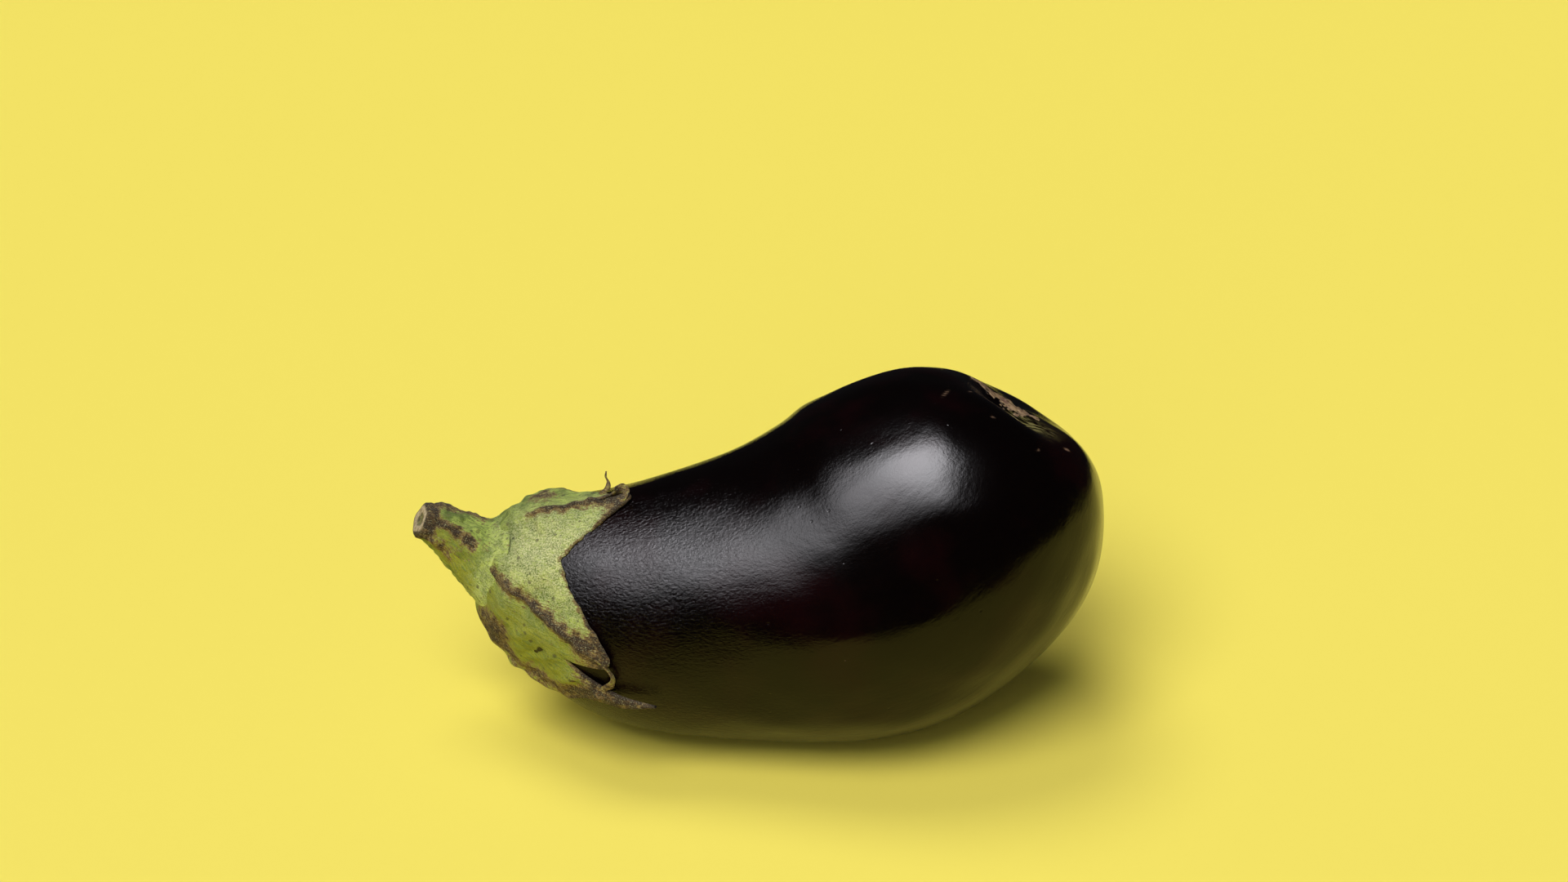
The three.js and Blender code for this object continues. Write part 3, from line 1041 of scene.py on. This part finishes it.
def ribbon(name, path, wide, thick, twist):
    """A closed flattened tube along a smooth path: at each step an ellipse of
    the given half-width and half-thickness, turned by the twist angle. The
    path is a Catmull-Rom curve through the given points. Gives the piece and
    its vertices' places."""
    steps, sides = 48, 16
    t = np.linspace(0, len(path) - 1, steps)
    knots = np.concatenate([[2 * path[0] - path[1]], path, [2 * path[-1] - path[-2]]])
    i = np.minimum(t.astype(int), len(path) - 2)
    f = (t - i)[:, None]
    p0, p1, p2, p3 = (knots[i + k] for k in range(4))
    square, cube = 2 * p0 - 5 * p1 + 4 * p2 - p3, 3 * p1 - p0 - 3 * p2 + p3
    line = 0.5 * (2 * p1 + (p2 - p0) * f + square * f**2 + cube * f**3)
    ahead = unit(np.gradient(line, axis=0))
    guide = unit(np.array([0.15, -0.75, 0.65]))
    cross = unit(np.cross(ahead, guide))
    face = np.cross(cross, ahead)
    share = np.linspace(0, 1, steps)
    wide, thick, twist = (
        np.interp(share, np.linspace(0, 1, len(stops)), stops)[:, None]
        for stops in (wide, thick, twist)
    )
    one = cross * np.cos(twist) + face * np.sin(twist)
    two = -cross * np.sin(twist) + face * np.cos(twist)
    a = round_angles(sides)[..., None]
    line = line[:, None]
    rings = line + one[:, None] * np.cos(a) * wide[..., None]
    rings = rings + two[:, None] * np.sin(a) * thick[..., None]
    rings = rings + 0.00012 * ripple(rings, 0.003, 41)[..., None] * unit(rings - line)
    piece = ring_mesh(name, rings, line[0], line[-1], inside_out=True)
    return piece, np.concatenate([rings.reshape(-1, 3), line[0], line[-1]])


class EGGPLANT_OT_curls(bpy.types.Operator):
    """Makes the dried curls and threads at the points of the calyx"""

    bl_idname = "eggplant.curls"
    bl_label = "Dried curls"

    def execute(self, context):
        body = Body(context.scene.eggplant_form)
        material = leaf_material(context.scene.eggplant_look, "dried_curl")
        for name, curl in CURLS.items():
            reach, degrees, lift = np.array(curl["stops"]).T
            path = body.skin(body.station(reach * MM), np.radians(degrees), lift * MM)
            size = np.array(curl["wide"]) * MM, np.array(curl["thick"]) * MM
            piece, places = ribbon(name, path, *size, curl["twist"])
            for layer, amount in (("brown", curl["dryness"]), ("yellow", 1.0), ("fuzz", 0.30)):
                paint(piece, layer, np.full(len(places), amount))
            paint(piece, "fibre", places)
            piece.data.materials.append(material)
            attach(piece, "root")
        return {"FINISHED"}


# ---------------------------------------------------------------- the stem


def curve(t, knots):
    """A quadratic Bezier curve: (1 - t)^2 times the first knot, 2 t (1 - t) times
    the second and t^2 times the last."""
    t = np.asarray(t)[..., None]
    return (1 - t) ** 2 * knots[0] + 2 * t * (1 - t) * knots[1] + t**2 * knots[2]


def stem_shaft(t, a, stem, knots, inward):
    """Rings square to the middle line. The radius shrinks from base to cut as a
    power of 1 - t, and is uneven by cosines of the angle: ribs, a slower wave
    and one lump. Angles run the same way round as the calyx's."""
    centre = curve(t, knots)
    ahead = unit(curve(t + 1e-3, knots) - curve(t - 1e-3, knots))
    up = unit(inward - ahead * (ahead @ inward)[:, None])
    side = np.cross(ahead, up)
    t = t[:, None]
    ribs = 0.055 * np.cos(stem.ribs * a + 0.6 + 1.2 * t) + 0.03 * np.cos(3 * a + 2.0 - 2.0 * t)
    lump = 0.05 * bump((t - 0.42) / 0.16) * np.cos(a - 0.2)
    radius = stem.cut + (stem.base - stem.cut) * (1 - t) ** 1.05 * 1.3
    out = (radius * (1 + ribs + lump))[..., None]
    a = a[..., None]
    return centre[:, None] + (up[:, None] * np.cos(a) - side[:, None] * np.sin(a)) * out


def stem_foot(foot, inner, shaft, rows):
    """A cubic Bezier curve up each side of the foot, which leaves the calyx along
    its surface and meets the shaft along its length."""
    low = foot + unit(inner - foot) * FOOT_PULL
    high = shaft[0] - unit(shaft[1] - shaft[0]) * SHAFT_PULL
    f = np.linspace(0, 1, rows)[:-1, None, None]
    rise = (1 - f) ** 3 * foot + 3 * f * (1 - f) ** 2 * low
    return rise + 3 * f**2 * (1 - f) * high + f**3 * shaft[0]


def stem_cut(rim, centre, ahead, rows):
    """The cut: an edge rounded as a quarter circle, then a flat face with a
    slightly sunken pith."""
    w = np.linspace(0, 1, rows + 1)[1:-1, None, None]
    corner = 1 - np.clip(w / 0.27, 0, 1)
    rounded = CUT_ROUNDING * np.sqrt(np.clip(1 - corner**2, 0, 1))
    sunk = PITH_DEPTH * ease((w - 0.5) / 0.3)
    return rim + (centre - rim) * np.minimum(w * 1.05, 1.0) * 0.98 + ahead * (rounded - sunk)


def stem_tones(a, t, inset, face):
    """How brown, yellow and downy the stem is, and how much cut wood and pith
    shows: brown as a collar at the cut and along three sides, gold below. Face
    is 1 on the cut, where inset runs from its edge to its middle."""
    collar = bump((t - CUT_AT) / 0.09) * (0.7 + 0.3 * np.cos(a - 1.4)) + 0.3 * face
    upper = 0.62 * bump(angle_gap(a, -8) / 20) * ease((t - 0.1) / 0.2)
    middle = 0.85 * bump(angle_gap(a, 74 - 14 * (t - 0.6)) / 13) * ease((t - 0.12) / 0.22)
    below = 0.5 * bump(angle_gap(a, 128) / 20) * ease((t - 0.2) / 0.3)
    return {
        "brown": np.clip(0.25 + collar + upper + middle + below, 0, 1),
        "yellow": 0.95 * bump(angle_gap(a, 130) / 60) * ease((t + 0.2) / 0.3),
        "fuzz": 0.08 + 0.3 * ease((0.2 - t) / 0.4),
        "cut": face * ease((inset - 0.20) / 0.10),
        "pith": face * ease((inset - 0.55) / 0.12) * 0.9,
    }


class EGGPLANT_OT_stem(bpy.types.Operator):
    """Makes the ribbed stem, spreading into the calyx, with its cut end"""

    bl_idname = "eggplant.stem"
    bl_label = "Stem"

    def execute(self, context):
        body = Body(context.scene.eggplant_form)
        stem = context.scene.eggplant_stem
        thick = context.scene.eggplant_calyx.thickness
        sides, foot_rows, rows, cut_rows = 160, 34, 70, 14
        a = round_angles(sides)
        along, inward = (v[0] for v in body.axes(np.zeros(1)))
        root = body.skin(np.zeros(1), np.zeros(1), thick)[0]
        knots = [root]
        for x, y, z in (STEM_KNEE, STEM_TIP):
            knots.append(root + (-along * x + inward * y + body.side * z) * MM)
        t = np.linspace(SHAFT_FROM, CUT_AT, rows)
        shaft = stem_shaft(t, a, stem, knots, inward)
        spread = 1 + 0.08 * np.cos(5 * a + 0.5) + 0.22 * bump(angle_gap(a, 0) / 40)
        spread = stem.foot * spread
        foot = body.skin(body.station(spread), a, thick - 0.0004)[0]
        inner = body.skin(body.station(spread * 0.86), a, thick + 0.0003)[0]
        flare = stem_foot(foot, inner, shaft, foot_rows)
        centre = curve(CUT_AT, knots)
        ahead = unit(curve(0.96, knots) - curve(0.94, knots))
        rings = np.concatenate([flare, shaft, stem_cut(shaft[-1], centre, ahead, cut_rows)])

        # The bark is rough, but not where the foot sinks into the calyx or on the cut.
        count, face_from = len(rings), foot_rows - 1 + rows
        row = np.arange(count)[:, None]
        bark = (row >= foot_rows * 0.4) & (row < face_from)
        rough = 0.00022 * ripple(rings, 0.006, 51) + 0.00010 * ripple(rings, 0.0022, 52)
        middle = curve(np.clip(np.linspace(-0.2, 1, count), 0, 1), knots)
        rings = rings + unit(rings - middle[:, None]) * (rough * bark)[..., None]
        floor = body.skin(np.zeros((1, 1)), np.zeros((1, 1)), 0.0002)
        top = centre + ahead * (CUT_ROUNDING - PITH_DEPTH)
        piece = ring_mesh("stem_stalk", rings, floor, top, inside_out=True)

        lead = np.linspace(-0.4, SHAFT_FROM, foot_rows)[:-1]
        t = np.concatenate([lead, t, np.ones(cut_rows - 1)])[:, None]
        inset = np.linspace(0, 1, cut_rows + 1)[1:-1]
        inset = np.concatenate([np.zeros(face_from), inset])[:, None]
        face = np.where(row >= face_from, 1.0, 0.0)
        for name, values in stem_tones(a, t, inset, face).items():
            values = flatten(np.broadcast_to(values, (count, sides)))
            values[-1] = 1.0 if name in ("cut", "pith") else 0.0
            paint(piece, name, values)
        paint(piece, "fibre", flatten(wrap(t * 0.024, 0.010, a)))
        bark_skin = leaf_material(context.scene.eggplant_look, "stem_stalk", stalk=True)
        piece.data.materials.append(bark_skin)
        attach(piece, "root")
        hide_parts("stem")
        return {"FINISHED"}


# ---------------------------------------------------------------- the stage


def flat_paper(name, low, high):
    """A flat rectangle on the ground between two corners."""
    (left, front), (right, back) = low, high
    corners = [(left, front, 0), (right, front, 0), (right, back, 0), (left, back, 0)]
    mesh = bpy.data.meshes.new(name)
    mesh.from_pydata(corners, [], [(0, 1, 2, 3)])
    item = bpy.data.objects.new(name, mesh)
    bpy.context.scene.collection.objects.link(item)
    return item


def hang_lamp(name, kind, place, colour):
    """A new lamp of a kind at a place."""
    lamp = bpy.data.objects.new(name, bpy.data.lights.new(name, kind))
    lamp.location = place
    lamp.data.color = colour
    bpy.context.scene.collection.objects.link(lamp)
    return lamp


class EGGPLANT_OT_stage(bpy.types.Operator):
    """Lays the paper, hangs the lights and sets up the camera"""

    bl_idname = "eggplant.stage"
    bl_label = "Stage"

    def lay_paper(self, look):
        """A piece of paper near the fruit that shows in the gloss, and four round it."""
        left, right, front, back = NEAR_PAPER
        far = PAPER_REACH
        near = flat_paper("paper_near", (left, front), (right, back))
        parts = (
            near,
            flat_paper("paper_front", (-far, -far), (far, front)),
            flat_paper("paper_back", (-far, back), (far, far)),
            flat_paper("paper_left", (-far, front), (left, back)),
            flat_paper("paper_right", (right, front), (far, back)),
        )
        paper = paper_material(look)
        for item in parts:
            item.data.materials.append(paper)
            item.visible_glossy = item is near

    def hang_soft_box(self, brightness):
        """The lamp that shows in the gloss, overhead to the left, whose power is pi
        times its glow times its area. It doesn't light anything matt."""
        box = hang_lamp("soft_box", "AREA", (-0.48, -0.58, 0.92), COOL_WHITE)
        box.rotation_euler = (0, 0, math.radians(22))
        box.visible_diffuse = False
        wide, deep, glow = 2.1, 1.9, 22.0
        box.data.shape = "RECTANGLE"
        box.data.size, box.data.size_y = wide, deep
        box.data.energy = math.pi * wide * deep * glow * brightness
        self.shape_glow(box.data)

    def shape_glow(self, light):
        """Soft edges all round, and a brighter spot near the right end."""
        light.use_nodes = True
        light.node_tree.nodes.clear()
        tree = Tree(light.node_tree)
        place = tree.add("ShaderNodeNewGeometry").outputs["Parametric"]
        across, deep, _ = tree.add("ShaderNodeSeparateXYZ", {0: place}).outputs
        glow = tree.math("MULTIPLY_ADD", tree.ramp(across, 0.50, 0.82), 0.60, 0.40)
        for edge in (
            tree.ramp(across, 0.10, 0.50),
            tree.ramp(across, 0.825, 0.92, flip=True),
            tree.math("POWER", tree.ramp(deep, 0.0, 0.62), 3.0),
            tree.ramp(deep, 0.69, 0.84, flip=True),
        ):
            glow = tree.times(glow, edge)
        shine = tree.add("ShaderNodeEmission", {"Strength": glow})
        tree.add("ShaderNodeOutputLight", {"Surface": shine.outputs[0]})

    def hang_paper_lights(self, brightness):
        """Three broad lights that stay out of the reflections."""
        for name, spread, strength, place in PAPER_LIGHTS:
            lamp = hang_lamp(name, "SUN", place, WARM_WHITE)
            lamp.rotation_euler = Vector(place).to_track_quat("Z", "Y").to_euler()
            lamp.visible_glossy = False
            lamp.data.angle = math.radians(spread)
            lamp.data.energy = strength * brightness

    def make_world(self, context, look):
        """A dim room, with the paper's colour behind where only the camera sees it."""
        world = bpy.data.worlds.new("studio")
        world.use_nodes = True
        world.node_tree.nodes.clear()
        tree = Tree(world.node_tree)
        seen = tree.add("ShaderNodeLightPath").outputs["Is Camera Ray"]
        room, behind = (
            tree.add("ShaderNodeBackground", {"Color": tone, "Strength": strength}).outputs[0]
            for tone, strength in ((ROOM_TONE, 0.012), (rgb(look.paper), 0.9))
        )
        both = tree.add("ShaderNodeMixShader", {0: seen, 1: room, 2: behind})
        tree.add("ShaderNodeOutputWorld", {"Surface": both.outputs[0]})
        context.scene.world = world

    def place_camera(self, context, stage):
        """A long lens that looks down. It is turned a little, so that the eggplant
        sits left of and below the middle of the frame."""
        camera = bpy.data.cameras.new("camera")
        camera.lens = 100
        camera.sensor_width = 36
        camera.clip_start = 0.05
        eye = bpy.data.objects.new("camera", camera)
        back = np.array([0.0, -math.cos(stage.look_down), math.sin(stage.look_down)])
        eye.location = AIM + back * stage.stand_off
        raised, turned = math.radians(2.33), math.radians(-0.227)
        eye.rotation_euler = (math.pi / 2 - stage.look_down + raised, 0, turned)
        context.scene.collection.objects.link(eye)
        context.scene.camera = eye

    def execute(self, context):
        stage = context.scene.eggplant_stage
        look = context.scene.eggplant_look
        self.lay_paper(look)
        self.hang_soft_box(stage.brightness)
        self.hang_paper_lights(stage.brightness)
        self.make_world(context, look)
        self.place_camera(context, stage)
        context.scene.view_settings.view_transform = "Standard"
        return {"FINISHED"}


# ---------------------------------------------------------------- panel


class EGGPLANT_PT_panel(bpy.types.Panel):
    """Sizes, colours and the steps that build the eggplant"""

    bl_idname = "EGGPLANT_PT_panel"
    bl_label = "Eggplant"
    bl_space_type = "VIEW_3D"
    bl_region_type = "UI"
    bl_category = "Eggplant"

    def draw(self, context):
        layout = self.layout
        for group in GROUPS:
            settings = getattr(context.scene, group)
            box = layout.box()
            box.label(text=group.split("_")[1].capitalize())
            for key in settings.__class__.__annotations__:
                box.prop(settings, key)
        for operator in STEPS:
            layout.operator(operator)


GROUPS = {
    "eggplant_form": EggplantForm,
    "eggplant_calyx": EggplantCalyx,
    "eggplant_stem": EggplantStem,
    "eggplant_look": EggplantLook,
    "eggplant_stage": EggplantStage,
}
STEPS = ("eggplant.stage", "eggplant.fruit", "eggplant.calyx", "eggplant.curls", "eggplant.stem")
CLASSES = (
    *GROUPS.values(),
    EGGPLANT_OT_stage,
    EGGPLANT_OT_fruit,
    EGGPLANT_OT_calyx,
    EGGPLANT_OT_curls,
    EGGPLANT_OT_stem,
    EGGPLANT_PT_panel,
)


def register():
    """Registers the classes and hangs the settings on the scene."""
    for item in CLASSES:
        bpy.utils.register_class(item)
    for name, group in GROUPS.items():
        setattr(bpy.types.Scene, name, PointerProperty(type=group))


def unregister():
    """Takes the settings and the classes away again."""
    for name in GROUPS:
        delattr(bpy.types.Scene, name)
    for item in reversed(CLASSES):
        bpy.utils.unregister_class(item)


def main():
    """Builds everything in order."""
    register()
    bpy.ops.eggplant.stage()
    bpy.ops.eggplant.fruit()
    bpy.ops.eggplant.calyx()
    bpy.ops.eggplant.curls()
    bpy.ops.eggplant.stem()


if __name__ == "__main__":
    main()
